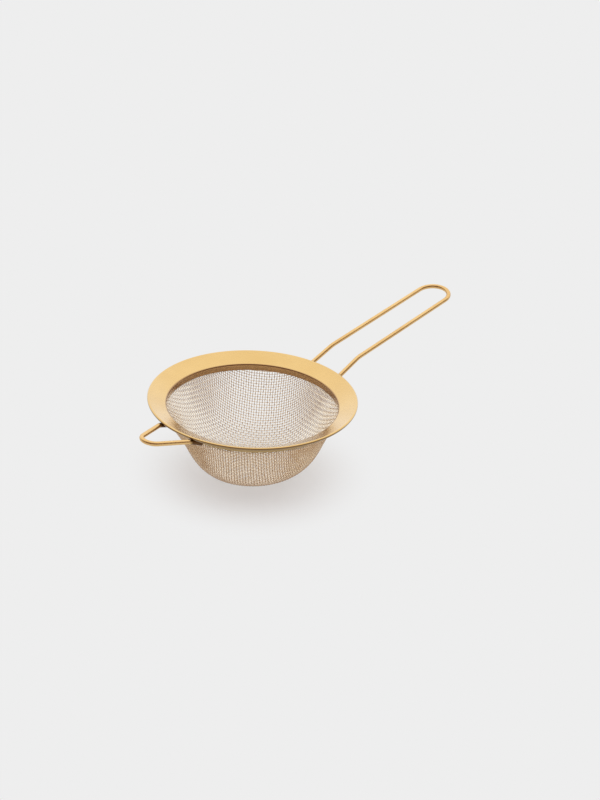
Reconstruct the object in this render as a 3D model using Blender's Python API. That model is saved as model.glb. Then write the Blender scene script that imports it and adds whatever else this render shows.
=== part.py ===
"""A gold-coloured fine-mesh strainer, in metres, Z up.

A stamped rim flange with a rolled lip carries a woven-wire bowl, which a plain ring holds against
the flange's upright collar. One bent wire makes the handle, along +X, and another makes the rest hook
opposite. Both are welded under the flange. The origin is the middle of the bowl's flat bottom.
"""

import math

import bmesh
import bpy
from mathutils import Quaternion, Vector

MM = 0.001

# Rim: a conical flange between a rolled lip and a short, nearly upright collar.
RIM_DIAMETER = 90.0 * MM
LIP_RADIUS = 0.6 * MM
LIP_HEIGHT = 35.2 * MM
FLANGE_SLOPE = math.radians(23.5)
SHEET = 0.45 * MM
COLLAR_FOOT_RADIUS = 36.75 * MM
COLLAR_DROP = 5.3 * MM
COLLAR_LEAN = math.radians(1.0)
COLLAR_FILLET = 0.8 * MM

# Bowl: the woven wire as a thin shell. Its straight edge is placed by its distance up the collar.
MESH_THICKNESS = 0.6 * MM
FIT_GAP = 0.1 * MM
MESH_EDGE_START = -0.35 * MM
MESH_EDGE_END = 2.0 * MM
WALL_LEAN = math.radians(27.1)
WALL_PULL = 16.1 * MM
BOTTOM_PULL = 15.9 * MM
BOTTOM_FLAT_RADIUS = 9.0 * MM

# Retaining ring around the mesh edge, placed by its distance up the collar.
RING_THICKNESS = 0.55 * MM
RING_START = 0.3 * MM
RING_END = 1.7 * MM
RING_EDGE_ROUNDING = 0.2 * MM

# Wires: both legs of each wire lie under the flange and leave below the lip.
WIRE_RADIUS = 1.0 * MM
LIP_CLEARANCE = 0.15 * MM
LEG_SLOPE = math.radians(23.5)
LEG_INNER_RADIUS = 40.0 * MM
HANDLE_LEG_SPACING = 17.3 * MM
HANDLE_BEND_X = 57.6 * MM
HANDLE_BEND_SPACING = 16.1 * MM
HANDLE_SLOPE = math.radians(10.4)
HANDLE_END_X = 124.1 * MM
HANDLE_END_SPACING = 15.5 * MM
HANDLE_BEND_RADIUS = 13.6 * MM
TURN_CLEARANCE = 0.01 * MM
HOOK_LEG_SPACING = 20.4 * MM
HOOK_BEND_X = -44.7 * MM
HOOK_BEND_SPACING = 18.4 * MM
HOOK_BEND_RADIUS = 5.0 * MM
HOOK_HALF_ANGLE = math.radians(19.9)
HOOK_SLOPE = math.radians(7.9)
HOOK_TIP_RADIUS = 4.9 * MM

# Weld nuggets between each wire leg and the flange.
WELD_RADIUS = 41.9 * MM
WELD_DIAMETER = 1.9 * MM
WELD_CLEARANCE = 0.08 * MM
WELD_ROUNDING = 0.12 * MM

# Facets.
BOWL_STEPS = 64
RIM_STEPS = 72
BOWL_CURVE_POINTS = 13
PROFILE_ARC_STEP = math.radians(22.5)
WIRE_ARC_STEP = math.radians(12.0)
WIRE_BEVEL_RESOLUTION = 3
WELD_STEPS = 16
SMOOTH_ANGLE = math.radians(35.0)
MERGE_DISTANCE = 0.001 * MM

LIP_CENTRE_RADIUS = RIM_DIAMETER / 2 - LIP_RADIUS
COLLAR_FOOT = Vector((COLLAR_FOOT_RADIUS, LIP_HEIGHT - COLLAR_DROP))
COLLAR_UP = Vector((math.sin(COLLAR_LEAN), math.cos(COLLAR_LEAN)))
COLLAR_OUT = Vector((math.cos(COLLAR_LEAN), -math.sin(COLLAR_LEAN)))


def clear_scene():
    for item in list(bpy.data.objects):
        bpy.data.objects.remove(item, do_unlink=True)


def metal(name, colour, roughness, metallic=1.0):
    material = bpy.data.materials.new(name)
    material.use_nodes = True
    shader = material.node_tree.nodes["Principled BSDF"]
    shader.inputs["Base Color"].default_value = (*colour, 1.0)
    shader.inputs["Roughness"].default_value = roughness
    shader.inputs["Metallic"].default_value = metallic
    material.diffuse_color = (*colour, 1.0)
    return material


def link(name, data, material):
    item = bpy.data.objects.new(name, data)
    data.materials.append(material)
    bpy.context.scene.collection.objects.link(item)
    return item


def arc(centre, radius, start, end):
    """Points (r, z) on an arc in the profile plane, ends included."""
    steps = max(2, math.ceil(abs(end - start) / PROFILE_ARC_STEP))
    angles = [start + (end - start) * i / steps for i in range(steps + 1)]
    return [(centre[0] + radius * math.cos(a), centre[1] + radius * math.sin(a)) for a in angles]


def turned(name, profile, steps, material, closed):
    """Spins a profile of (r, z) points about Z. An open profile starts and ends on the axis."""
    work = bmesh.new()
    points = [work.verts.new((r, 0.0, z)) for r, z in profile]
    pairs = list(zip(points, points[1:]))
    if closed:
        pairs.append((points[-1], points[0]))
    edges = [work.edges.new(pair) for pair in pairs]
    turn = {"cent": (0, 0, 0), "axis": (0, 0, 1), "angle": math.tau, "steps": steps}
    bmesh.ops.spin(work, geom=points + edges, use_merge=True, **turn)
    bmesh.ops.remove_doubles(work, verts=work.verts, dist=MERGE_DISTANCE)
    bmesh.ops.recalc_face_normals(work, faces=work.faces)
    data = bpy.data.meshes.new(name)
    work.to_mesh(data)
    work.free()
    data.shade_smooth()
    data.set_sharp_from_angle(angle=SMOOTH_ANGLE)
    return link(name, data, material)


def flange_top(radius):
    """Height of the flange's upper face, which is tangent to the lip, at a radius on its cone."""
    above_lip_centre = LIP_RADIUS / math.cos(FLANGE_SLOPE)
    return LIP_HEIGHT + above_lip_centre - (LIP_CENTRE_RADIUS - radius) * math.tan(FLANGE_SLOPE)


def flange_underside(radius):
    return flange_top(radius) - SHEET / math.cos(FLANGE_SLOPE)


def fillet_centre():
    """Centre of the fillet between the collar's inner face and the flange's upper face."""
    foot = COLLAR_FOOT + COLLAR_FILLET * COLLAR_OUT
    drop = flange_top(foot.x) - COLLAR_FILLET / math.cos(FLANGE_SLOPE) - foot.y
    along = drop / (COLLAR_UP.y - COLLAR_UP.x * math.tan(FLANGE_SLOPE))
    return foot + along * COLLAR_UP


def make_rim_flange(material):
    lip = (LIP_CENTRE_RADIUS, LIP_HEIGHT)
    underside_turn = math.asin((LIP_RADIUS - SHEET) / LIP_RADIUS)
    curl = arc(lip, LIP_RADIUS, math.pi / 2 + FLANGE_SLOPE, FLANGE_SLOPE - math.pi - underside_turn)
    corner = fillet_centre()
    flange_normal = math.pi / 2 + FLANGE_SLOPE
    collar_normal = math.pi - COLLAR_LEAN
    outside = arc(corner, COLLAR_FILLET - SHEET, flange_normal, collar_normal)
    foot = COLLAR_FOOT + SHEET / 2 * COLLAR_OUT
    edge = arc(foot, SHEET / 2, -COLLAR_LEAN, -COLLAR_LEAN - math.pi)
    inside = arc(corner, COLLAR_FILLET, collar_normal, flange_normal)
    return turned("rim_flange", curl + outside + edge + inside, RIM_STEPS, material, closed=True)


def beside_collar(distance, along):
    """A point (r, z) at a distance outwards from the collar's inner face and along its slope."""
    return COLLAR_FOOT + distance * COLLAR_OUT + along * COLLAR_UP


def cubic(points, t):
    weights = ((1 - t) ** 3, 3 * t * (1 - t) ** 2, 3 * t * t * (1 - t), t**3)
    return sum((w * p for w, p in zip(weights, points)), Vector((0.0, 0.0)))


def cubic_normal(points, t):
    """Unit normal of the bowl's curve, towards the inside of the bowl."""
    weights = ((1 - t) ** 2, 2 * t * (1 - t), t * t)
    tangent = sum((w * (b - a) for w, a, b in zip(weights, points, points[1:])), Vector((0.0, 0.0)))
    return Vector((tangent.y, -tangent.x)).normalized()


def bowl_curve():
    """Control points (r, z) of the bowl's outer surface, from its straight edge to its flat."""
    top = beside_collar(SHEET + FIT_GAP + MESH_THICKNESS, MESH_EDGE_START)
    lean = top + WALL_PULL * Vector((-math.sin(WALL_LEAN), -math.cos(WALL_LEAN)))
    flat = Vector((BOTTOM_FLAT_RADIUS, 0.0))
    return [top, lean, flat + Vector((BOTTOM_PULL, 0.0)), flat]


def make_mesh_bowl(material):
    curve = bowl_curve()
    times = [i / BOWL_CURVE_POINTS for i in range(BOWL_CURVE_POINTS + 1)]
    outer = [cubic(curve, t) for t in times]
    inner = [p + MESH_THICKNESS * cubic_normal(curve, t) for p, t in zip(outer, times)]
    near = beside_collar(SHEET + FIT_GAP, MESH_EDGE_END)
    edge = [near + MESH_THICKNESS * COLLAR_OUT, near]
    profile = [(0.0, 0.0), *outer[::-1], *edge, *inner, (0.0, MESH_THICKNESS)]
    return turned("mesh_bowl", profile, BOWL_STEPS, material, closed=False)


def make_retaining_ring(material):
    """A band with rounded edges that lies against the mesh edge, parallel to the collar."""
    r = RING_EDGE_ROUNDING
    near = SHEET + 2 * FIT_GAP + MESH_THICKNESS + r
    far = near + RING_THICKNESS - 2 * r
    low = RING_START + r
    high = RING_END - r
    centres = ((near, low), (far, low), (far, high), (near, high))
    profile = []
    for number, (distance, along) in enumerate(centres):
        start = -math.pi - COLLAR_LEAN + number * math.pi / 2
        profile += arc(beside_collar(distance, along), r, start, start + math.pi / 2)
    return turned("retaining_ring", profile, RIM_STEPS, material, closed=True)


def rounded(corners, radii):
    """A path of points through corners, each inner corner rounded to its radius."""
    path = [corners[0]]
    for before, corner, after, radius in zip(corners, corners[1:], corners[2:], radii):
        back = (before - corner).normalized()
        ahead = (after - corner).normalized()
        half = back.angle(ahead) / 2
        centre = corner + (back + ahead).normalized() * (radius / math.sin(half))
        start = corner + back * (radius / math.tan(half)) - centre
        turn = math.pi - 2 * half
        axis = ahead.cross(back)
        steps = max(2, math.ceil(turn / WIRE_ARC_STEP))
        path += [centre + Quaternion(axis, turn * i / steps) @ start for i in range(steps + 1)]
    return path + [corners[-1]]


def make_wire(name, path, material):
    curve = bpy.data.curves.new(name, "CURVE")
    curve.dimensions = "3D"
    curve.bevel_depth = WIRE_RADIUS
    curve.bevel_resolution = WIRE_BEVEL_RESOLUTION
    curve.use_fill_caps = True
    spline = curve.splines.new("POLY")
    spline.points.add(len(path) - 1)
    for point, place in zip(spline.points, path):
        point.co = (*place, 1.0)
    return link(name, curve, material)


def leg_height(radius):
    """Height of a leg's axis where it lies under the flange, at a radius from Z."""
    under_lip = LIP_RADIUS + LIP_CLEARANCE + WIRE_RADIUS / math.cos(LEG_SLOPE)
    return LIP_HEIGHT - under_lip + (radius - LIP_CENTRE_RADIUS) * math.tan(LEG_SLOPE)


def leg_point(side, radius, spacing):
    """A point on a leg's axis, for side 1 towards the handle and -1 towards the hook."""
    return Vector((side * math.sqrt(radius**2 - (spacing / 2) ** 2), spacing / 2, leg_height(radius)))


def with_mirror(half):
    """A path of corners and its reflection in the XZ plane, joined at the far end."""
    return half + [Vector((p.x, -p.y, p.z)) for p in reversed(half)]


def make_handle(material):
    start = leg_point(1, LEG_INNER_RADIUS, HANDLE_LEG_SPACING)
    bend = Vector((HANDLE_BEND_X, HANDLE_BEND_SPACING / 2, leg_height(HANDLE_BEND_X)))
    rise = (HANDLE_END_X - HANDLE_BEND_X) * math.tan(HANDLE_SLOPE)
    end = Vector((HANDLE_END_X, HANDLE_END_SPACING / 2, bend.z + rise))
    turn = HANDLE_END_SPACING / 2 - TURN_CLEARANCE
    radii = [HANDLE_BEND_RADIUS, turn, turn, HANDLE_BEND_RADIUS]
    return make_wire("handle_wire", rounded(with_mirror([start, bend, end]), radii), material)


def make_hook(material):
    start = leg_point(-1, LEG_INNER_RADIUS, HOOK_LEG_SPACING)
    bend_radius = math.hypot(HOOK_BEND_X, HOOK_BEND_SPACING / 2)
    bend = Vector((HOOK_BEND_X, HOOK_BEND_SPACING / 2, leg_height(bend_radius)))
    reach = HOOK_BEND_SPACING / 2 / math.tan(HOOK_HALF_ANGLE)
    apex = Vector((bend.x - reach, 0.0, bend.z + reach * math.tan(HOOK_SLOPE)))
    half = [start, bend]
    corners = half + [apex] + [Vector((p.x, -p.y, p.z)) for p in reversed(half)]
    radii = [HOOK_BEND_RADIUS, HOOK_TIP_RADIUS, HOOK_BEND_RADIUS]
    return make_wire("rest_hook", rounded(corners, radii), material)


def make_weld(name, side, hand, spacing, material):
    """A flat nugget that fills the space between a leg's top and the flange's underside."""
    place = leg_point(side, WELD_RADIUS, spacing)
    place.y *= hand
    low = place.z + WIRE_RADIUS / math.cos(LEG_SLOPE)
    high = flange_underside(WELD_RADIUS)
    tilt = (LEG_SLOPE + FLANGE_SLOPE) / 2
    thickness = (high - low) * math.cos(tilt) - 2 * WELD_CLEARANCE
    work = bmesh.new()
    radii = {"radius1": WELD_DIAMETER / 2, "radius2": WELD_DIAMETER / 2}
    bmesh.ops.create_cone(work, cap_ends=True, segments=WELD_STEPS, depth=thickness, **radii)
    data = bpy.data.meshes.new(name)
    work.to_mesh(data)
    work.free()
    data.shade_smooth()
    data.set_sharp_from_angle(angle=SMOOTH_ANGLE)
    item = link(name, data, material)
    item.location = (place.x, place.y, (low + high) / 2)
    item.rotation_euler = (0.0, -tilt, math.atan2(place.y, place.x))
    bevel = item.modifiers.new("rounded_edge", "BEVEL")
    bevel.width = WELD_ROUNDING
    bevel.segments = 2
    return item


def make_welds(material):
    for hand, word in ((1, "left"), (-1, "right")):
        make_weld(f"weld_handle_{word}", 1, hand, HANDLE_LEG_SPACING, material)
        make_weld(f"weld_hook_{word}", -1, hand, HOOK_LEG_SPACING, material)


def main():
    clear_scene()
    make_rim_flange(metal("gold_sheet", (0.83, 0.61, 0.27), 0.28))
    make_mesh_bowl(metal("gold_woven_wire", (0.72, 0.58, 0.42), 0.4))
    make_retaining_ring(metal("gold_ring", (0.66, 0.48, 0.24), 0.35))
    gold_wire = metal("gold_wire", (0.83, 0.60, 0.26), 0.22)
    make_handle(gold_wire)
    make_hook(gold_wire)
    make_welds(metal("gold_weld", (0.62, 0.46, 0.26), 0.45))


main()
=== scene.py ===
"""Looks of the fine mesh strainer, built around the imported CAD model, in metres."""

import math

import bmesh
import bpy
import numpy as np
from mathutils import Matrix, Quaternion, Vector, noise


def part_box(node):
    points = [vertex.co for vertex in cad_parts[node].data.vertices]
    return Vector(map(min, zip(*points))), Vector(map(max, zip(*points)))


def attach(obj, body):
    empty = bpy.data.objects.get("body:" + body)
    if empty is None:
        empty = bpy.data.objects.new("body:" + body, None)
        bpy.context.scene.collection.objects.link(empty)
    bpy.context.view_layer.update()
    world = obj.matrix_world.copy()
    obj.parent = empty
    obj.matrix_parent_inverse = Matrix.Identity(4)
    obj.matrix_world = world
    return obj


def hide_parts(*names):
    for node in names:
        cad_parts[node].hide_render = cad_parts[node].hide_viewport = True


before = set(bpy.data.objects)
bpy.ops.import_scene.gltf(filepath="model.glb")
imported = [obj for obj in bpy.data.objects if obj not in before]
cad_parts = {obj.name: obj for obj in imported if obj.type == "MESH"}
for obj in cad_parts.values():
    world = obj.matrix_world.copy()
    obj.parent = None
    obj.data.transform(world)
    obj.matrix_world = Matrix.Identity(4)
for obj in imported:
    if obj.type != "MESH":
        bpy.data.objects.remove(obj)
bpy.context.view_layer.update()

MM = 0.001

RIM_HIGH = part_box("rim_flange")[1]
HANDLE_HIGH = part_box("handle_wire")[1]

# Rim section, as in the CAD: a flange tangent to the rolled lip, then a short upright collar.
LIP_RADIUS = 0.6 * MM
LIP_CENTRE = Vector((RIM_HIGH.x - LIP_RADIUS, RIM_HIGH.z - LIP_RADIUS))
FLANGE_SLOPE = math.radians(23.5)
SHEET = 0.45 * MM
COLLAR_LEAN = math.radians(1.0)
COLLAR_FOOT = LIP_CENTRE + Vector((-7.65, -5.3)) * MM
COLLAR_UP = Vector((math.sin(COLLAR_LEAN), math.cos(COLLAR_LEAN)))
COLLAR_OUT = Vector((math.cos(COLLAR_LEAN), -math.sin(COLLAR_LEAN)))
COLLAR_FILLET = 0.8 * MM
RIM_STEPS = 288
HEM_END = math.radians(-157.0)
HEM_INNER_RADIUS = 0.22 * MM

# Bowl section: the CAD shell's outer curve, from its straight edge to its flat bottom.
MESH_THICKNESS = 0.6 * MM
FIT_GAP = 0.1 * MM
MESH_EDGE_START = -0.35 * MM
MESH_EDGE_END = 2.0 * MM
WALL_LEAN = math.radians(27.1)
WALL_PULL = 16.1 * MM
BOTTOM_PULL = 15.9 * MM
BOTTOM_FLAT_RADIUS = 9.0 * MM
WALL_SAMPLES = 600
BOTTOM_SAMPLES = 40

# Retaining ring, placed by its distance up the collar.
RING_THICKNESS = 0.55 * MM
RING_START = 0.3 * MM
RING_END = 1.7 * MM
RING_EDGE_ROUNDING = 0.2 * MM

# Where the bowl is slightly out of round: turn in degrees, height and bulge in mm. Each
# spreads by DENT_TURN radians and by DENT_HEIGHT, and all fade out towards the rim.
DENTS = ((152.0, 16.0, -1.3), (182.0, 6.5, 0.6), (284.0, 10.5, 1.0), (318.0, 23.0, -0.9))
DENT_TURN = 0.7
DENT_HEIGHT = 9.0 * MM
DENT_FADE_START = 24.5 * MM
DENT_FADE_END = 29.5 * MM

# Plating: the rolled lip is smoother than the flange, the lip's lower half and the collar
# carry painted shade, and the wires are stained by their welds at the lip and carry painted
# shade where their legs run under it. A START and its END are distances from Z, and the
# painted lip shade's TOP and BASE are heights.
LIP_POLISH = 0.35
LIP_POLISH_START = 43.4 * MM
LIP_POLISH_END = 44.0 * MM
LIP_SHADE_TOP = LIP_CENTRE.y + 0.35 * MM
LIP_SHADE_BASE = LIP_CENTRE.y + 0.05 * MM
COLLAR_SHADE_START = 37.0 * MM
COLLAR_SHADE_END = 37.4 * MM
STAIN_START = 44.9 * MM
STAIN_END = 46.4 * MM
STAIN_WANDER = 0.3 * MM
GRAIN_DEPTH = 0.02 * MM
WELD_GRAIN_DEPTH = 0.05 * MM

# Colours of the plating, some darkened as painted shade where marked. A pair is mottled, except
# on the cloth, whose first colour is painted light on the side facing into the bowl and whose
# second is painted shade on the side facing out of it. They turn over between square to that
# direction and a cosine of CLOTH_TURN_OVER to it.
FLANGE_GOLD = ((0.66, 0.43, 0.15), (0.71, 0.48, 0.185))
# Painted shade: the collar's colour, darkened where it lies under the flange's inner edge.
COLLAR_PAINTED_SHADE = (0.40, 0.225, 0.085)
# Painted shade: the rolled lip's lower half, darkened.
LIP_PAINTED_SHADE = (0.24, 0.15, 0.055)
WIRE_GOLD = ((0.69, 0.44, 0.175), (0.77, 0.52, 0.225))
# Weld stain at the lip's edge, and painted shade on the legs where they run under the lip.
WELD_STAIN_AND_SHADE = (0.12, 0.06, 0.025)
# Painted shade: the retaining ring's colours, darkened for the shade under the lip.
RING_PAINTED_SHADE = ((0.36, 0.24, 0.11), (0.46, 0.32, 0.15))
WELD_GOLD = ((0.50, 0.33, 0.17), (0.78, 0.55, 0.30))
# Painted light on the side facing into the bowl, painted shade on the side facing out.
WARP_LIT_AND_SHADED = ((1.0, 0.93, 0.79), (0.53, 0.325, 0.16))
WEFT_LIT_AND_SHADED = ((1.0, 0.91, 0.77), (0.465, 0.28, 0.13))
CLOTH_TURN_OVER = 0.7
CLOTH_MOTTLE = 0.15

# Woven wire.
MESH_WIRE_RADIUS = 0.17 * MM
MESH_PITCH = 1.15 * MM
MESH_TURN = math.radians(39.0)
MESH_WIRE_SIDES = 6
MESH_STEPS_PER_CROSSING = 2
FEWEST_CROSSINGS = 3

# Draping: how much cloth is laid past the bowl's edge, and how each crossing is found.
SPARE_WIRES = 2
SPARE_REACH = 3 * MESH_PITCH
SOLVER_ROUNDS = 12
SOLVER_STEP = 0.001 * MM
SOLVER_REACH = 0.5 * MESH_PITCH

# Slow waves by which the weave drifts off its grid: size in mm, radians per mm
# along x and along y, and phase.
DRIFT_X = ((0.10, 0.0, 0.21, 1.3), (0.07, 0.47, -0.31, 0.0))
DRIFT_Y = ((0.10, 0.19, 0.0, 0.4), (0.07, 0.27, 0.43, 2.0))

# Handle and hook wires.
WIRE_RADIUS = 1.0 * MM
WIRE_SIDES = 24
WIRE_STEP = 2.0 * MM
WIRE_CHAMFER = 0.2 * MM
LIP_CLEARANCE = 0.15 * MM
LEG_SLOPE = math.radians(23.5)
LEG_INNER_RADIUS = 40.0 * MM
HANDLE_LEG_SPACING = 17.3 * MM
HANDLE_BEND_X = 57.6 * MM
HANDLE_BEND_SPACING = 16.1 * MM
HANDLE_SLOPE = math.radians(10.4)
HANDLE_END_SPACING = 15.5 * MM
HANDLE_BEND_RADIUS = 13.6 * MM
TURN_CLEARANCE = 0.01 * MM
HOOK_LEG_SPACING = 20.4 * MM
HOOK_BEND_X = -44.7 * MM
HOOK_BEND_SPACING = 18.4 * MM
HOOK_BEND_RADIUS = 5.0 * MM
HOOK_HALF_ANGLE = math.radians(19.9)
HOOK_SLOPE = math.radians(7.9)
HOOK_TIP_RADIUS = 4.9 * MM

# Weld nuggets: half their size along the leg, across it and upwards, and how lumpy they are.
WELD_HALF_SIZE = Vector((1.25, 1.05, 0.62)) * MM
WELD_LUMP = 0.12
WELD_LUMP_SCALE = 2.3

SHARP_ANGLE = math.radians(40.0)

# Studio: how bright the dome is between two heights on it, where its dark and warm side
# lies, and how far out the floor takes the bowl's shadow.
ZENITH_LEVEL = 1.25
HORIZON_LEVEL = 1.15
ZENITH_HEIGHT = 0.7
HORIZON_HEIGHT = 0.1
PATCH_COLOUR = (0.20, 0.115, 0.09)
PATCH_ELEVATION = math.radians(-45.0)
PATCH_HALF_ANGLE = math.radians(112.0)
PATCH_SOFTNESS = math.radians(11.0)
FLOOR_REACH = 6.0
FLOOR_LEVEL = 0.855
FLOOR_ALBEDO = 0.90
SHADOW_SHARE = 0.6
SHADOW_FADE_START = 16.0 * MM
SHADOW_FADE_END = 57.0 * MM

# Camera: the way it looks, its lens, its distance, and how the rim's centre is framed.
VIEW_AZIMUTH = math.radians(42.96)
VIEW_ELEVATION = math.radians(27.85)
VIEW_ROLL = math.radians(3.15)
LENS = 71.86
VIEW_DISTANCE = 682.2 * MM
VIEW_RIGHT = -20.15 * MM
VIEW_UP = 1.03 * MM


# ---------------------------------------------------------------- materials


class Nodes:
    """Adds shader nodes to a material or world and links them by name."""

    def __init__(self, owner):
        owner.use_nodes = True
        self.tree = owner.node_tree

    def add(self, kind, **settings):
        node = self.tree.nodes.new(kind)
        for name, value in settings.items():
            setattr(node, name, value)
        return node

    def link(self, source, target):
        self.tree.links.new(source, target)

    def noise(self, vector, scale, detail):
        node = self.add("ShaderNodeTexNoise")
        node.inputs["Scale"].default_value = scale
        node.inputs["Detail"].default_value = detail
        self.link(vector, node.inputs["Vector"])
        return node.outputs["Fac"]

    def spread(self, value, low, high, source_low=0.3, source_high=0.7):
        """Maps a value's range, which is noise's unless given, to low and high."""
        node = self.add("ShaderNodeMapRange")
        node.inputs["From Min"].default_value = source_low
        node.inputs["From Max"].default_value = source_high
        node.inputs["To Min"].default_value = low
        node.inputs["To Max"].default_value = high
        self.link(value, node.inputs["Value"])
        return node.outputs["Result"]

    def blend(self, share, first, second):
        """A mix of two plain colours, all second where share is 1."""
        node = self.add("ShaderNodeMix", data_type="RGBA")
        node.inputs["A"].default_value = (*first, 1.0)
        node.inputs["B"].default_value = (*second, 1.0)
        self.link(share, node.inputs["Factor"])
        return node.outputs["Result"]

    def mottled(self, tone, pair):
        """A pair of colours blended by noise."""
        return self.blend(self.spread(tone, 0.0, 1.0), *pair)

    def stained(self, colour, share, stain):
        """A node's colour that gives way to a plain one where share is 1."""
        node = self.add("ShaderNodeMix", data_type="RGBA")
        self.link(colour, node.inputs["A"])
        node.inputs["B"].default_value = (*stain, 1.0)
        self.link(share, node.inputs["Factor"])
        return node.outputs["Result"]

    def math(self, operation, *values):
        node = self.add("ShaderNodeMath", operation=operation)
        for socket, value in zip(node.inputs, values):
            self.link(value, socket)
        return node.outputs["Value"]

    def bump(self, height, strength, distance):
        node = self.add("ShaderNodeBump")
        node.inputs["Strength"].default_value = strength
        node.inputs["Distance"].default_value = distance
        self.link(height, node.inputs["Height"])
        return node.outputs["Normal"]

    def place(self, scale=(1.0, 1.0, 1.0)):
        """The piece's own coordinates, stretched by scale."""
        coordinates = self.add("ShaderNodeTexCoord")
        mapping = self.add("ShaderNodeMapping")
        mapping.inputs["Scale"].default_value = scale
        self.link(coordinates.outputs["Object"], mapping.inputs["Vector"])
        return mapping.outputs["Vector"]

    def radius_and_height(self):
        """Distance from Z and height above the piece's origin."""
        split = self.add("ShaderNodeSeparateXYZ")
        self.link(self.place(), split.inputs["Vector"])
        x, y, height = (split.outputs[axis] for axis in "XYZ")
        squares = self.math("ADD", self.math("MULTIPLY", x, x), self.math("MULTIPLY", y, y))
        return self.math("SQRT", squares), height


def new_metal(name, roughness):
    """A metal whose plain roughness stands in where its nodes can't be read."""
    material = bpy.data.materials.new(name)
    nodes = Nodes(material)
    shader = nodes.tree.nodes["Principled BSDF"]
    shader.inputs["Metallic"].default_value = 1.0
    shader.inputs["Roughness"].default_value = roughness
    return material, nodes, shader


def turned_gold():
    """Satin gold plating with fine concentric polishing lines around Z, and painted shade on the
    collar and on the lip's lower half.
    """
    material, nodes, shader = new_metal("gold_sheet", 0.3)
    radius, height = nodes.radius_and_height()
    ring = nodes.add("ShaderNodeCombineXYZ")
    nodes.link(radius, ring.inputs["X"])
    nodes.link(height, ring.inputs["Y"])
    lines = nodes.noise(ring.outputs["Vector"], scale=9000.0, detail=2.0)
    blotches = nodes.noise(nodes.place(), scale=60.0, detail=3.0)
    plating_and_painted_light = nodes.mottled(blotches, FLANGE_GOLD)
    # Painted shade: the collar is darkened in the base colour.
    at_collar = nodes.spread(radius, 1.0, 0.0, COLLAR_SHADE_START, COLLAR_SHADE_END)
    plating_and_painted_light = nodes.stained(plating_and_painted_light, at_collar, COLLAR_PAINTED_SHADE)
    # Painted shade: the rolled lip's lower half is darkened in the base colour.
    at_lip = nodes.spread(radius, 0.0, 1.0, LIP_POLISH_START, LIP_POLISH_END)
    low = nodes.spread(height, 1.0, 0.0, LIP_SHADE_BASE, LIP_SHADE_TOP)
    plating_and_painted_light = nodes.stained(plating_and_painted_light, nodes.math("MULTIPLY", at_lip, low), LIP_PAINTED_SHADE)
    nodes.link(plating_and_painted_light, shader.inputs["Base Color"])
    polish = nodes.spread(radius, 1.0, LIP_POLISH, LIP_POLISH_START, LIP_POLISH_END)
    roughness = nodes.math("MULTIPLY", nodes.spread(lines, low=0.14, high=0.24), polish)
    nodes.link(roughness, shader.inputs["Roughness"])
    nodes.link(nodes.bump(lines, strength=0.03, distance=GRAIN_DEPTH), shader.inputs["Normal"])
    shader.inputs["Coat Weight"].default_value = 0.8
    shader.inputs["Coat Roughness"].default_value = 0.12
    return material


def drawn_gold():
    """Bright drawn wire with faint lines along it, stained dark by its weld at the lip and painted
    in shade where its legs run under the lip.
    """
    material, nodes, shader = new_metal("gold_wire", 0.22)
    lines = nodes.noise(nodes.place(scale=(0.04, 1.0, 1.0)), scale=3000.0, detail=3.0)
    blotches = nodes.noise(nodes.place(), scale=90.0, detail=3.0)
    radius = nodes.radius_and_height()[0]
    # Weld stain near the lip's edge, and painted shade on the legs inside it, under the lip.
    wandering = nodes.math("ADD", radius, nodes.spread(blotches, -STAIN_WANDER, STAIN_WANDER))
    at_weld = nodes.spread(wandering, 1.0, 0.0, STAIN_START, STAIN_END)
    plating_and_painted_light = nodes.stained(nodes.mottled(blotches, WIRE_GOLD), at_weld, WELD_STAIN_AND_SHADE)
    nodes.link(plating_and_painted_light, shader.inputs["Base Color"])
    nodes.link(nodes.spread(lines, low=0.24, high=0.36), shader.inputs["Roughness"])
    nodes.link(nodes.bump(lines, strength=0.1, distance=GRAIN_DEPTH), shader.inputs["Normal"])
    return material


def shaded_gold():
    """The retaining ring's plating, darkened as painted shade under the lip."""
    material, nodes, shader = new_metal("gold_ring", 0.35)
    blotches = nodes.noise(nodes.place(), scale=250.0, detail=4.0)
    # The ring's darkened colours are painted shade.
    nodes.link(nodes.mottled(blotches, RING_PAINTED_SHADE), shader.inputs["Base Color"])
    nodes.link(nodes.spread(blotches, low=0.28, high=0.45), shader.inputs["Roughness"])
    return material


def weld_gold():
    """Plated weld metal, rougher and mottled."""
    material, nodes, shader = new_metal("gold_weld", 0.45)
    grain = nodes.noise(nodes.place(), scale=1800.0, detail=4.0)
    nodes.link(nodes.mottled(grain, WELD_GOLD), shader.inputs["Base Color"])
    nodes.link(nodes.spread(grain, low=0.35, high=0.6), shader.inputs["Roughness"])
    nodes.link(nodes.bump(grain, strength=0.4, distance=WELD_GRAIN_DEPTH), shader.inputs["Normal"])
    return material


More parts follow.
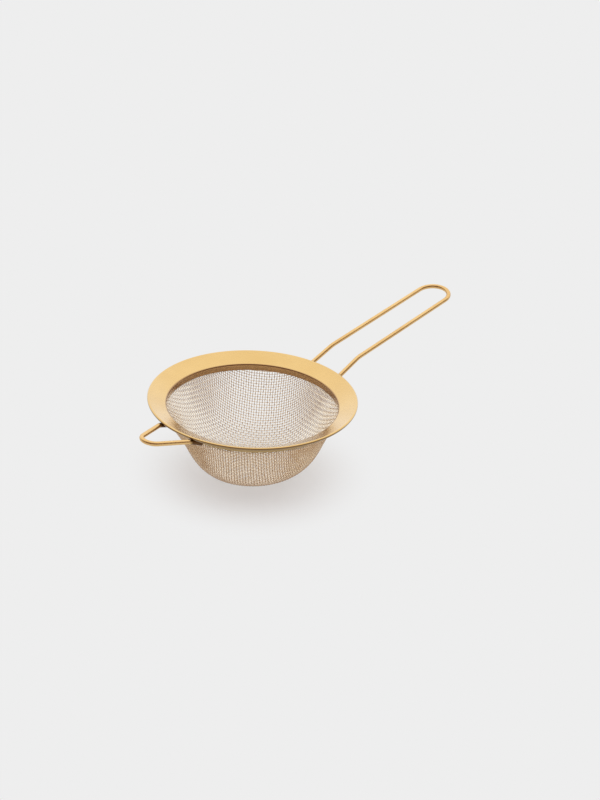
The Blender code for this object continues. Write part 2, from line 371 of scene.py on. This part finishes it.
def mesh_gold(name, inside, outside):
    """Plating on one family of woven wires, with painted light where it faces into the bowl and
    painted shade where it faces out.
    """
    material, nodes, shader = new_metal(name, 0.25)
    away = nodes.add("ShaderNodeVectorMath", operation="SUBTRACT")
    nodes.link(nodes.place(), away.inputs[0])
    away.inputs[1].default_value = (0.0, 0.0, LIP_CENTRE.y)
    outwards = nodes.add("ShaderNodeVectorMath", operation="NORMALIZE")
    nodes.link(away.outputs["Vector"], outwards.inputs[0])
    facing = nodes.add("ShaderNodeVectorMath", operation="DOT_PRODUCT")
    nodes.link(outwards.outputs["Vector"], facing.inputs[0])
    nodes.link(nodes.add("ShaderNodeNewGeometry").outputs["Normal"], facing.inputs[1])
    tone = nodes.noise(nodes.place(), scale=140.0, detail=3.0)
    mottle = nodes.spread(tone, -CLOTH_MOTTLE, CLOTH_MOTTLE)
    share = nodes.math("ADD", facing.outputs["Value"], mottle)
    share = nodes.spread(share, 0.0, 1.0, source_low=0.0, source_high=CLOTH_TURN_OVER)
    # Painted light on the side facing into the bowl, painted shade on the side facing out.
    nodes.link(nodes.blend(share, inside, outside), shader.inputs["Base Color"])
    nodes.link(nodes.spread(tone, low=0.2, high=0.12), shader.inputs["Roughness"])
    return material


# ---------------------------------------------------------------- geometry


def add_object(name, data):
    """A new object in the scene."""
    item = bpy.data.objects.new(name, data)
    bpy.context.scene.collection.objects.link(item)
    return item


def mesh_object(name, points, faces, material):
    """A smooth-shaded piece from points and faces."""
    data = bpy.data.meshes.new(name)
    data.from_pydata([tuple(p) for p in points], [], faces)
    data.update()
    data.materials.append(material)
    data.shade_smooth()
    return add_object(name, data)


def keep(item, node):
    """Puts a piece on the part's one body, in place of a CAD node."""
    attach(item, "root")
    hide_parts(node)


def arc(centre, radius, start, end, degrees=6.0):
    """Points (r, z) on an arc in the section plane, ends included."""
    steps = max(2, math.ceil(abs(end - start) / math.radians(degrees)))
    angles = [start + (end - start) * i / steps for i in range(steps + 1)]
    return [(centre[0] + radius * math.cos(a), centre[1] + radius * math.sin(a)) for a in angles]


def turned(name, section, steps, material):
    """Turns a closed section of (r, z) points about Z into a closed piece."""
    count = len(section)
    points = []
    for i in range(steps):
        c, s = math.cos(math.tau * i / steps), math.sin(math.tau * i / steps)
        points += [(r * c, r * s, z) for r, z in section]
    faces = []
    for i in range(steps):
        here, there = i * count, (i + 1) % steps * count
        for k in range(count):
            after = (k + 1) % count
            faces.append((here + k, there + k, there + after, here + after))
    return mesh_object(name, points, faces, material)


def outward(item):
    """Turns every face of a closed piece outwards and marks its sharp edges."""
    work = bmesh.new()
    work.from_mesh(item.data)
    bmesh.ops.recalc_face_normals(work, faces=work.faces)
    work.to_mesh(item.data)
    work.free()
    item.data.set_sharp_from_angle(angle=SHARP_ANGLE)


def flange_top(radius):
    """Height of the flange's upper face."""
    above = LIP_RADIUS / math.cos(FLANGE_SLOPE)
    return LIP_CENTRE.y + above - (LIP_CENTRE.x - radius) * math.tan(FLANGE_SLOPE)


def beside_collar(distance, along):
    """A point (r, z) at a distance outwards from the collar's inner face and along its slope."""
    return COLLAR_FOOT + distance * COLLAR_OUT + along * COLLAR_UP


def fillet_centre():
    """Centre of the fillet between the collar's inner face and the flange's upper face."""
    foot = beside_collar(COLLAR_FILLET, 0.0)
    drop = flange_top(foot.x) - COLLAR_FILLET / math.cos(FLANGE_SLOPE) - foot.y
    along = drop / (COLLAR_UP.y - COLLAR_UP.x * math.tan(FLANGE_SLOPE))
    return beside_collar(COLLAR_FILLET, along)


def make_rim(material):
    """One sheet: collar, fillet, flange, and the edge rolled under into a hem."""
    flange_normal = math.pi / 2 + FLANGE_SLOPE
    collar_normal = math.pi - COLLAR_LEAN
    corner = fillet_centre()
    hem_outside = arc(LIP_CENTRE, LIP_RADIUS, flange_normal, HEM_END)
    hem_inside = arc(LIP_CENTRE, HEM_INNER_RADIUS, HEM_END, flange_normal)
    outside = arc(corner, COLLAR_FILLET - SHEET, flange_normal, collar_normal)
    foot = beside_collar(SHEET / 2, 0.0)
    edge = arc(foot, SHEET / 2, -COLLAR_LEAN, -COLLAR_LEAN - math.pi, degrees=20.0)
    inside = arc(corner, COLLAR_FILLET, collar_normal, flange_normal)
    section = hem_outside + hem_inside + outside + edge + inside
    item = turned("rim_sheet", section, RIM_STEPS, material)
    outward(item)
    keep(item, "rim_flange")


def make_ring(material):
    """A band with rounded edges that lies against the mesh edge, parallel to the collar."""
    r = RING_EDGE_ROUNDING
    near = SHEET + 2 * FIT_GAP + MESH_THICKNESS + r
    far = near + RING_THICKNESS - 2 * r
    low = RING_START + r
    high = RING_END - r
    section = []
    start = -math.pi - COLLAR_LEAN
    for distance, along in ((near, low), (far, low), (far, high), (near, high)):
        section += arc(beside_collar(distance, along), r, start, start + math.pi / 2, degrees=15.0)
        start += math.pi / 2
    item = turned("clamp_ring", section, RIM_STEPS, material)
    outward(item)
    keep(item, "retaining_ring")


# ---------------------------------------------------------------- woven bowl


def bowl_section():
    """Length, radius and height along the cloth's middle surface, from the pole to its edge."""
    top = np.array(beside_collar(SHEET + FIT_GAP + MESH_THICKNESS, MESH_EDGE_START))
    lean = top - WALL_PULL * np.array([math.sin(WALL_LEAN), math.cos(WALL_LEAN)])
    flat = np.array([BOTTOM_FLAT_RADIUS, 0.0])
    pull = flat + [BOTTOM_PULL, 0.0]
    t = np.linspace(0.0, 1.0, WALL_SAMPLES)[:, None]
    back = 1 - t
    wall = back**3 * flat + 3 * t * back**2 * pull + 3 * t**2 * back * lean + t**3 * top
    bottom = np.linspace(0.0, 1.0, BOTTOM_SAMPLES)[:-1, None] * flat
    edge = np.array([top + (MESH_EDGE_END - MESH_EDGE_START) * np.array(COLLAR_UP)])
    outer = np.concatenate([bottom, wall, edge])
    along = np.gradient(outer, axis=0)
    along /= np.linalg.norm(along, axis=1)[:, None]
    middle = outer + 2 * MESH_WIRE_RADIUS * np.stack([-along[:, 1], along[:, 0]], 1)
    middle[0, 0] = 0.0
    steps = np.linalg.norm(np.diff(middle, axis=0), axis=1)
    return np.concatenate([[0.0], np.cumsum(steps)]), middle[:, 0], middle[:, 1]


def dents(turn, height):
    """How far the bowl bulges out of round at each turn about Z and height."""
    fade = np.clip((DENT_FADE_END - height) / (DENT_FADE_END - DENT_FADE_START), 0.0, 1.0)
    out = 0.0
    for centre_turn, centre_height, size in DENTS:
        round_z = np.angle(np.exp(1j * (turn - math.radians(centre_turn)))) / DENT_TURN
        upwards = (height - centre_height * MM) / DENT_HEIGHT
        out = out + size * MM * np.exp(-(round_z**2) - upwards**2)
    return out * fade


LENGTH, RADIUS, HEIGHT = bowl_section()
EDGE_LENGTH = LENGTH[-1]
RADIUS_SLOPE = np.gradient(RADIUS, LENGTH)
HEIGHT_SLOPE = np.gradient(HEIGHT, LENGTH)


def on_bowl(flat):
    """Places (x, y) points of the flattened cloth on the bowl, keeping distance from the pole."""
    reach = np.hypot(flat[..., 0], flat[..., 1])
    turn = np.arctan2(flat[..., 1], flat[..., 0])
    past = np.maximum(reach - EDGE_LENGTH, 0.0)
    radius = np.interp(reach, LENGTH, RADIUS) + past * COLLAR_UP.x
    height = np.interp(reach, LENGTH, HEIGHT) + past * COLLAR_UP.y
    return np.stack([radius * np.cos(turn), radius * np.sin(turn), height], -1)


def bowl_normal(flat):
    """Unit normals of the bowl, towards its inside."""
    reach = np.hypot(flat[..., 0], flat[..., 1])
    turn = np.arctan2(flat[..., 1], flat[..., 0])
    rise = np.interp(reach, LENGTH, HEIGHT_SLOPE)
    run = np.interp(reach, LENGTH, RADIUS_SLOPE)
    normal = np.stack([-rise * np.cos(turn), -rise * np.sin(turn), run], -1)
    return normal / np.linalg.norm(normal, axis=-1, keepdims=True)


def next_crossings(flat, first, second):
    """Moves guesses on the flattened cloth until each is one pitch from both its neighbours.

    The neighbours are places on the bowl, and each round is one step of Newton's method.
    """
    for _ in range(SOLVER_ROUNDS):
        here = on_bowl(flat)
        along_x = (on_bowl(flat + [SOLVER_STEP, 0.0]) - here) / SOLVER_STEP
        along_y = (on_bowl(flat + [0.0, SOLVER_STEP]) - here) / SOLVER_STEP
        gap, other_gap = (((here - end) ** 2).sum(1) - MESH_PITCH**2 for end in (first, second))
        (a, b), (c, d) = (
            (2 * ((here - end) * along_x).sum(1), 2 * ((here - end) * along_y).sum(1))
            for end in (first, second)
        )
        scale = 1.0 / (a * d - b * c)
        move_x = (b * other_gap - d * gap) * scale
        move_y = (c * gap - a * other_gap) * scale
        move = np.stack([move_x, move_y], 1)
        size = np.linalg.norm(move, axis=1, keepdims=True)
        flat = flat + move * (SOLVER_REACH / np.maximum(size, SOLVER_REACH))
    return flat


def drape_quadrant(count):
    """A quarter of a square-woven cloth draped on the bowl with its wires unstretched.

    The two wires through the pole run straight out, and the rest follow by diagonals.
    """
    size = count + 1
    flat = np.full((size, size, 2), np.nan)
    steps = np.arange(size) * MESH_PITCH
    flat[:, 0] = np.stack([steps, 0 * steps], 1)
    flat[0, :] = np.stack([0 * steps, steps], 1)
    for diagonal in range(2, 2 * size - 1):
        i = np.arange(max(1, diagonal - size + 1), min(diagonal, size))
        j = diagonal - i
        before, beside, corner = flat[i - 1, j], flat[i, j - 1], flat[i - 1, j - 1]
        known = ~np.isnan(before[:, 0]) & ~np.isnan(beside[:, 0])
        known &= np.hypot(corner[:, 0], corner[:, 1]) < EDGE_LENGTH + SPARE_REACH
        i, j = i[known], j[known]
        before, beside, corner = before[known], beside[known], corner[known]
        if len(i):
            guess = before + beside - corner
            flat[i, j] = next_crossings(guess, on_bowl(before), on_bowl(beside))
    return flat


def drift(flat, waves):
    """How far the weave has slipped off its grid at each point of the flattened cloth."""
    x, y = flat[..., 0] / MM, flat[..., 1] / MM
    return MM * sum(size * np.sin(a * x + b * y + phase) for size, a, b, phase in waves)


def drape():
    """Crossings of the whole cloth, flattened, with the pole's in the middle of the grid."""
    count = math.ceil(EDGE_LENGTH / MESH_PITCH) + SPARE_WIRES
    quarter = drape_quadrant(count)
    number = np.arange(-count, count + 1)
    index = np.abs(number)
    sign = np.where(number < 0, -1, 1)
    flat = quarter[index[:, None], index[None, :]]
    flat[..., 0] *= sign[:, None]
    flat[..., 1] *= sign[None, :]
    c, s = math.cos(MESH_TURN), math.sin(MESH_TURN)
    flat = flat @ np.array([[c, s], [-s, c]])
    return flat + np.stack([drift(flat, DRIFT_X), drift(flat, DRIFT_Y)], -1)


def wire_path(crossings, first_lift):
    """One wire's points on the flattened cloth up to the bowl's edge, and its lift at each."""
    reach = np.hypot(crossings[:, 0], crossings[:, 1])
    inside = np.flatnonzero(reach < EDGE_LENGTH)
    first, last = inside[0], inside[-1]
    steps = MESH_STEPS_PER_CROSSING
    places = np.arange((last - first) * steps + 1) / steps + first
    ends = []
    for near, far in ((first, first - 1), (last, last + 1)):
        share = (EDGE_LENGTH - reach[near]) / (reach[far] - reach[near])
        ends.append(near + (far - near) * share)
    places = np.concatenate([[ends[0]], places, [ends[1]]])
    index = np.arange(len(crossings))
    known = ~np.isnan(reach)
    flat = np.stack([np.interp(places, index[known], crossings[known, k]) for k in (0, 1)], 1)
    lift = MESH_WIRE_RADIUS * first_lift * np.cos(np.pi * places)
    return flat, lift


def tube_rings(points, normals, radius, sides):
    """Rings of points around a path, with one side of each ring along the normal given."""
    along = np.gradient(points, axis=0)
    along /= np.linalg.norm(along, axis=1)[:, None]
    side = np.cross(along, normals)
    side /= np.linalg.norm(side, axis=1)[:, None]
    up = np.cross(side, along)
    turns = np.arange(sides) * math.tau / sides
    ring = np.cos(turns)[None, :, None] * up[:, None] + np.sin(turns)[None, :, None] * side[:, None]
    return (points[:, None] + radius * ring).reshape(-1, 3)


def tube_faces(start, rings, sides):
    """Faces between rings of points numbered from start, with a cap at each end."""
    faces = []
    for i in range(rings - 1):
        here = start + i * sides
        for k in range(sides):
            after = (k + 1) % sides
            faces.append((here + k, here + sides + k, here + sides + after, here + after))
    last = start + (rings - 1) * sides
    faces.append(tuple(range(start, start + sides)))
    faces.append(tuple(range(last + sides - 1, last - 1, -1)))
    return faces


def make_wires(name, crossings, first_sign, material):
    """All wires of one family, each woven over and under the other family's."""
    points, faces, total = [], [], 0
    middle = len(crossings) // 2
    for number, line in enumerate(crossings):
        reach = np.hypot(line[:, 0], line[:, 1])
        if np.count_nonzero(reach < EDGE_LENGTH) < FEWEST_CROSSINGS:
            continue
        flat, lift = wire_path(line, first_sign * (-1) ** (number - middle))
        normals = bowl_normal(flat)
        path = on_bowl(flat)
        steepness = np.hypot(normals[:, 0], normals[:, 1])
        bulge = dents(np.arctan2(path[:, 1], path[:, 0]), path[:, 2]) * steepness
        path += (lift - bulge)[:, None] * normals
        points.append(tube_rings(path, normals, MESH_WIRE_RADIUS, MESH_WIRE_SIDES))
        faces += tube_faces(total, len(path), MESH_WIRE_SIDES)
        total += len(path) * MESH_WIRE_SIDES
    return mesh_object(name, np.concatenate(points), faces, material)


def make_bowl():
    """The cloth's two families of wires, in place of the CAD's closed shell."""
    crossings = drape()
    # Each family's pair of colours: painted light inside the bowl, painted shade outside.
    for family, lines, sign, plating_and_painted_light in (
        ("warp", np.swapaxes(crossings, 0, 1), 1, WARP_LIT_AND_SHADED),
        ("weft", crossings, -1, WEFT_LIT_AND_SHADED),
    ):
        material = mesh_gold(f"gold_mesh_{family}", *plating_and_painted_light)
        item = make_wires(f"mesh_{family}_wires", lines, sign, material)
        keep(item, "mesh_bowl")


# ---------------------------------------------------------------- bent wires


def rounded(corners, radii, degrees=5.0):
    """A path of points through corners, each inner corner rounded to its radius."""
    path = [corners[0]]
    for before, corner, after, radius in zip(corners, corners[1:], corners[2:], radii):
        back = (before - corner).normalized()
        ahead = (after - corner).normalized()
        half = back.angle(ahead) / 2
        centre = corner + (back + ahead).normalized() * (radius / math.sin(half))
        start = corner + back * (radius / math.tan(half)) - centre
        turn = math.pi - 2 * half
        axis = ahead.cross(back)
        steps = max(2, math.ceil(turn / math.radians(degrees)))
        path += [centre + Quaternion(axis, turn * i / steps) @ start for i in range(steps + 1)]
    return path + [corners[-1]]


def spaced(path, gap):
    """The same path with points no further apart than gap."""
    points = [path[0]]
    for start, end in zip(path, path[1:]):
        pieces = max(1, math.ceil((end - start).length / gap))
        points += [start.lerp(end, i / pieces) for i in range(1, pieces + 1)]
    return points


def make_wire(name, path, material, node):
    """A round wire along a path, its cut ends slightly rounded."""
    centre = np.array([tuple(p) for p in spaced(path, WIRE_STEP)])
    along = np.gradient(centre, axis=0)
    along /= np.linalg.norm(along, axis=1)[:, None]
    # Each normal is the one before it, made square to the wire, so the rings don't twist.
    normals = [np.cross(along[0], [0.0, 1.0, 0.0])]
    for tangent in along:
        carried = normals[-1] - tangent * np.dot(normals[-1], tangent)
        normals.append(carried / np.linalg.norm(carried))
    rings = tube_rings(centre, np.array(normals[1:]), WIRE_RADIUS, WIRE_SIDES)
    rings = rings.reshape(-1, WIRE_SIDES, 3)
    caps = []
    for end, inwards in ((0, along[0]), (-1, -along[-1])):
        caps.append(centre[end] + (rings[end] - centre[end]) * (1 - WIRE_CHAMFER / WIRE_RADIUS))
        rings[end] += inwards * WIRE_CHAMFER
    rings = np.concatenate([caps[0][None], rings, caps[1][None]])
    faces = tube_faces(0, len(rings), WIRE_SIDES)
    item = mesh_object(name, rings.reshape(-1, 3), faces, material)
    outward(item)
    keep(item, node)


def leg_height(radius):
    """Height of a leg's middle line, which passes just under the lip."""
    under_lip = LIP_RADIUS + LIP_CLEARANCE + WIRE_RADIUS / math.cos(LEG_SLOPE)
    return LIP_CENTRE.y - under_lip + (radius - LIP_CENTRE.x) * math.tan(LEG_SLOPE)


def leg_point(side, radius, spacing):
    """A point on a leg's middle line, towards +X for side 1 and -X for side -1."""
    y = spacing / 2
    return Vector((side * math.sqrt(radius**2 - y**2), y, leg_height(radius)))


def reflected(points):
    """The other half of a path that is the same on both sides of the XZ plane."""
    return [Vector((p.x, -p.y, p.z)) for p in reversed(points)]


def make_handle(material):
    """One wire: a leg, a bend up to the rod, the round end, and the same back."""
    start = leg_point(1, LEG_INNER_RADIUS, HANDLE_LEG_SPACING)
    bend = Vector((HANDLE_BEND_X, HANDLE_BEND_SPACING / 2, leg_height(HANDLE_BEND_X)))
    end_x = HANDLE_HIGH.x - WIRE_RADIUS
    rise = (end_x - HANDLE_BEND_X) * math.tan(HANDLE_SLOPE)
    end = Vector((end_x, HANDLE_END_SPACING / 2, bend.z + rise))
    half = [start, bend, end]
    turn = HANDLE_END_SPACING / 2 - TURN_CLEARANCE
    radii = [HANDLE_BEND_RADIUS, turn, turn, HANDLE_BEND_RADIUS]
    path = rounded(half + reflected(half), radii)
    make_wire("handle_rods", path, material, "handle_wire")


def make_hook(material):
    """One wire: a leg, a bend towards the rounded tip, and the same back."""
    start = leg_point(-1, LEG_INNER_RADIUS, HOOK_LEG_SPACING)
    bend_radius = math.hypot(HOOK_BEND_X, HOOK_BEND_SPACING / 2)
    bend = Vector((HOOK_BEND_X, HOOK_BEND_SPACING / 2, leg_height(bend_radius)))
    reach = HOOK_BEND_SPACING / 2 / math.tan(HOOK_HALF_ANGLE)
    apex = Vector((bend.x - reach, 0.0, bend.z + reach * math.tan(HOOK_SLOPE)))
    half = [start, bend]
    radii = [HOOK_BEND_RADIUS, HOOK_TIP_RADIUS, HOOK_BEND_RADIUS]
    path = rounded(half + [apex] + reflected(half), radii)
    make_wire("hook_loop", path, material, "rest_hook")


def make_weld(node, material):
    """A lumpy nugget that fuses a wire's leg to the flange."""
    low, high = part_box(node)
    middle = (low + high) / 2
    work = bmesh.new()
    bmesh.ops.create_icosphere(work, subdivisions=4, radius=1.0)
    tilt = Quaternion((0.0, 0.0, 1.0), math.atan2(middle.y, middle.x))
    tilt = tilt @ Quaternion((0.0, 1.0, 0.0), -(LEG_SLOPE + FLANGE_SLOPE) / 2)
    for vert in work.verts:
        lump = 1.0 + WELD_LUMP * noise.noise(vert.co * WELD_LUMP_SCALE + middle / MM)
        vert.co = middle + tilt @ (vert.co * WELD_HALF_SIZE * lump)
    name = f"nugget_{node}"
    data = bpy.data.meshes.new(name)
    work.to_mesh(data)
    work.free()
    data.materials.append(material)
    data.shade_smooth()
    keep(add_object(name, data), node)


# ---------------------------------------------------------------- studio


def floor_paper():
    """Pale paper that takes the soft shadow under the bowl and glows evenly further out."""
    material = bpy.data.materials.new("floor_paper")
    nodes = Nodes(material)
    shader = nodes.tree.nodes["Principled BSDF"]
    shader.inputs["Roughness"].default_value = 1.0
    shader.inputs["Specular IOR Level"].default_value = 0.0
    shader.inputs["Emission Color"].default_value = (1.0, 1.0, 1.0, 1.0)
    reach = nodes.add("ShaderNodeVectorMath", operation="LENGTH")
    nodes.link(nodes.place(), reach.inputs[0])
    fade = nodes.add("ShaderNodeMapRange", interpolation_type="SMOOTHSTEP")
    fade.inputs["From Min"].default_value = SHADOW_FADE_START
    fade.inputs["From Max"].default_value = SHADOW_FADE_END
    fade.inputs["To Min"].default_value = SHADOW_SHARE
    fade.inputs["To Max"].default_value = 0.0
    nodes.link(reach.outputs["Value"], fade.inputs["Value"])
    share = fade.outputs["Result"]
    grey = nodes.blend(share, (0.0, 0.0, 0.0), (FLOOR_ALBEDO,) * 3)
    nodes.link(grey, shader.inputs["Base Color"])
    glow = nodes.spread(share, FLOOR_LEVEL, 0.0, source_low=0.0, source_high=1.0)
    nodes.link(glow, shader.inputs["Emission Strength"])
    return material


def make_floor():
    """A wide square of paper under the bowl."""
    data = bpy.data.meshes.new("floor")
    signs = ((-1, -1), (1, -1), (1, 1), (-1, 1))
    corners = [(x * FLOOR_REACH, y * FLOOR_REACH, 0.0) for x, y in signs]
    data.from_pydata(corners, [], [(0, 1, 2, 3)])
    data.materials.append(floor_paper())
    add_object("floor", data)


def make_world():
    """A bright dome for the metal to mirror, dark and warm low on the camera's side.

    The camera itself sees a plain backdrop as bright as the floor.
    """
    world = bpy.data.worlds.new("studio")
    bpy.context.scene.world = world
    nodes = Nodes(world)
    background = nodes.tree.nodes["Background"]
    coordinates = nodes.add("ShaderNodeTexCoord")
    towards = nodes.add("ShaderNodeVectorMath", operation="DOT_PRODUCT")
    nodes.link(coordinates.outputs["Generated"], towards.inputs[0])
    flat = math.cos(PATCH_ELEVATION)
    turn = VIEW_AZIMUTH + math.pi
    towards.inputs[1].default_value = (
        flat * math.cos(turn),
        flat * math.sin(turn),
        math.sin(PATCH_ELEVATION),
    )
    outer = math.cos(PATCH_HALF_ANGLE + PATCH_SOFTNESS)
    inner = math.cos(PATCH_HALF_ANGLE - PATCH_SOFTNESS)
    patch = nodes.spread(towards.outputs["Value"], 0.0, 1.0, outer, inner)
    split = nodes.add("ShaderNodeSeparateXYZ")
    nodes.link(coordinates.outputs["Generated"], split.inputs["Vector"])
    height = split.outputs["Z"]
    dome = nodes.spread(height, HORIZON_LEVEL, ZENITH_LEVEL, HORIZON_HEIGHT, ZENITH_HEIGHT)
    nodes.link(dome, background.inputs["Strength"])
    nodes.link(nodes.blend(patch, (1.0, 1.0, 1.0), PATCH_COLOUR), background.inputs["Color"])
    backdrop = nodes.add("ShaderNodeBackground")
    backdrop.inputs["Color"].default_value = (FLOOR_LEVEL, FLOOR_LEVEL, FLOOR_LEVEL, 1.0)
    seen = nodes.add("ShaderNodeMixShader")
    nodes.link(nodes.add("ShaderNodeLightPath").outputs["Is Camera Ray"], seen.inputs["Fac"])
    nodes.link(background.outputs["Background"], seen.inputs[1])
    nodes.link(backdrop.outputs["Background"], seen.inputs[2])
    nodes.link(seen.outputs["Shader"], nodes.tree.nodes["World Output"].inputs["Surface"])


def view_basis():
    """Right, up and backward directions of the camera."""
    forward = Vector((
        math.cos(VIEW_AZIMUTH) * math.cos(VIEW_ELEVATION),
        math.sin(VIEW_AZIMUTH) * math.cos(VIEW_ELEVATION),
        -math.sin(VIEW_ELEVATION),
    ))
    right = forward.cross(Vector((0.0, 0.0, 1.0))).normalized()
    up = right.cross(forward)
    c, s = math.cos(VIEW_ROLL), math.sin(VIEW_ROLL)
    return c * right + s * up, c * up - s * right, -forward


def make_camera():
    """Looks at the rim's centre, which is framed off the middle of the picture."""
    right, up, back = view_basis()
    data = bpy.data.cameras.new("camera")
    data.lens = LENS
    camera = add_object("camera", data)
    target = Vector((0.0, 0.0, LIP_CENTRE.y)) - VIEW_RIGHT * right - VIEW_UP * up
    place = target + VIEW_DISTANCE * back
    turn = Matrix((right, up, back)).transposed().to_4x4()
    camera.matrix_world = Matrix.Translation(place) @ turn
    bpy.context.scene.camera = camera


def main():
    bpy.context.scene.view_settings.view_transform = "Standard"
    make_camera()
    make_world()
    make_floor()
    make_rim(turned_gold())
    make_ring(shaded_gold())
    make_bowl()
    wire = drawn_gold()
    make_handle(wire)
    make_hook(wire)
    weld = weld_gold()
    for hand in ("left", "right"):
        make_weld(f"weld_handle_{hand}", weld)
        make_weld(f"weld_hook_{hand}", weld)


main()
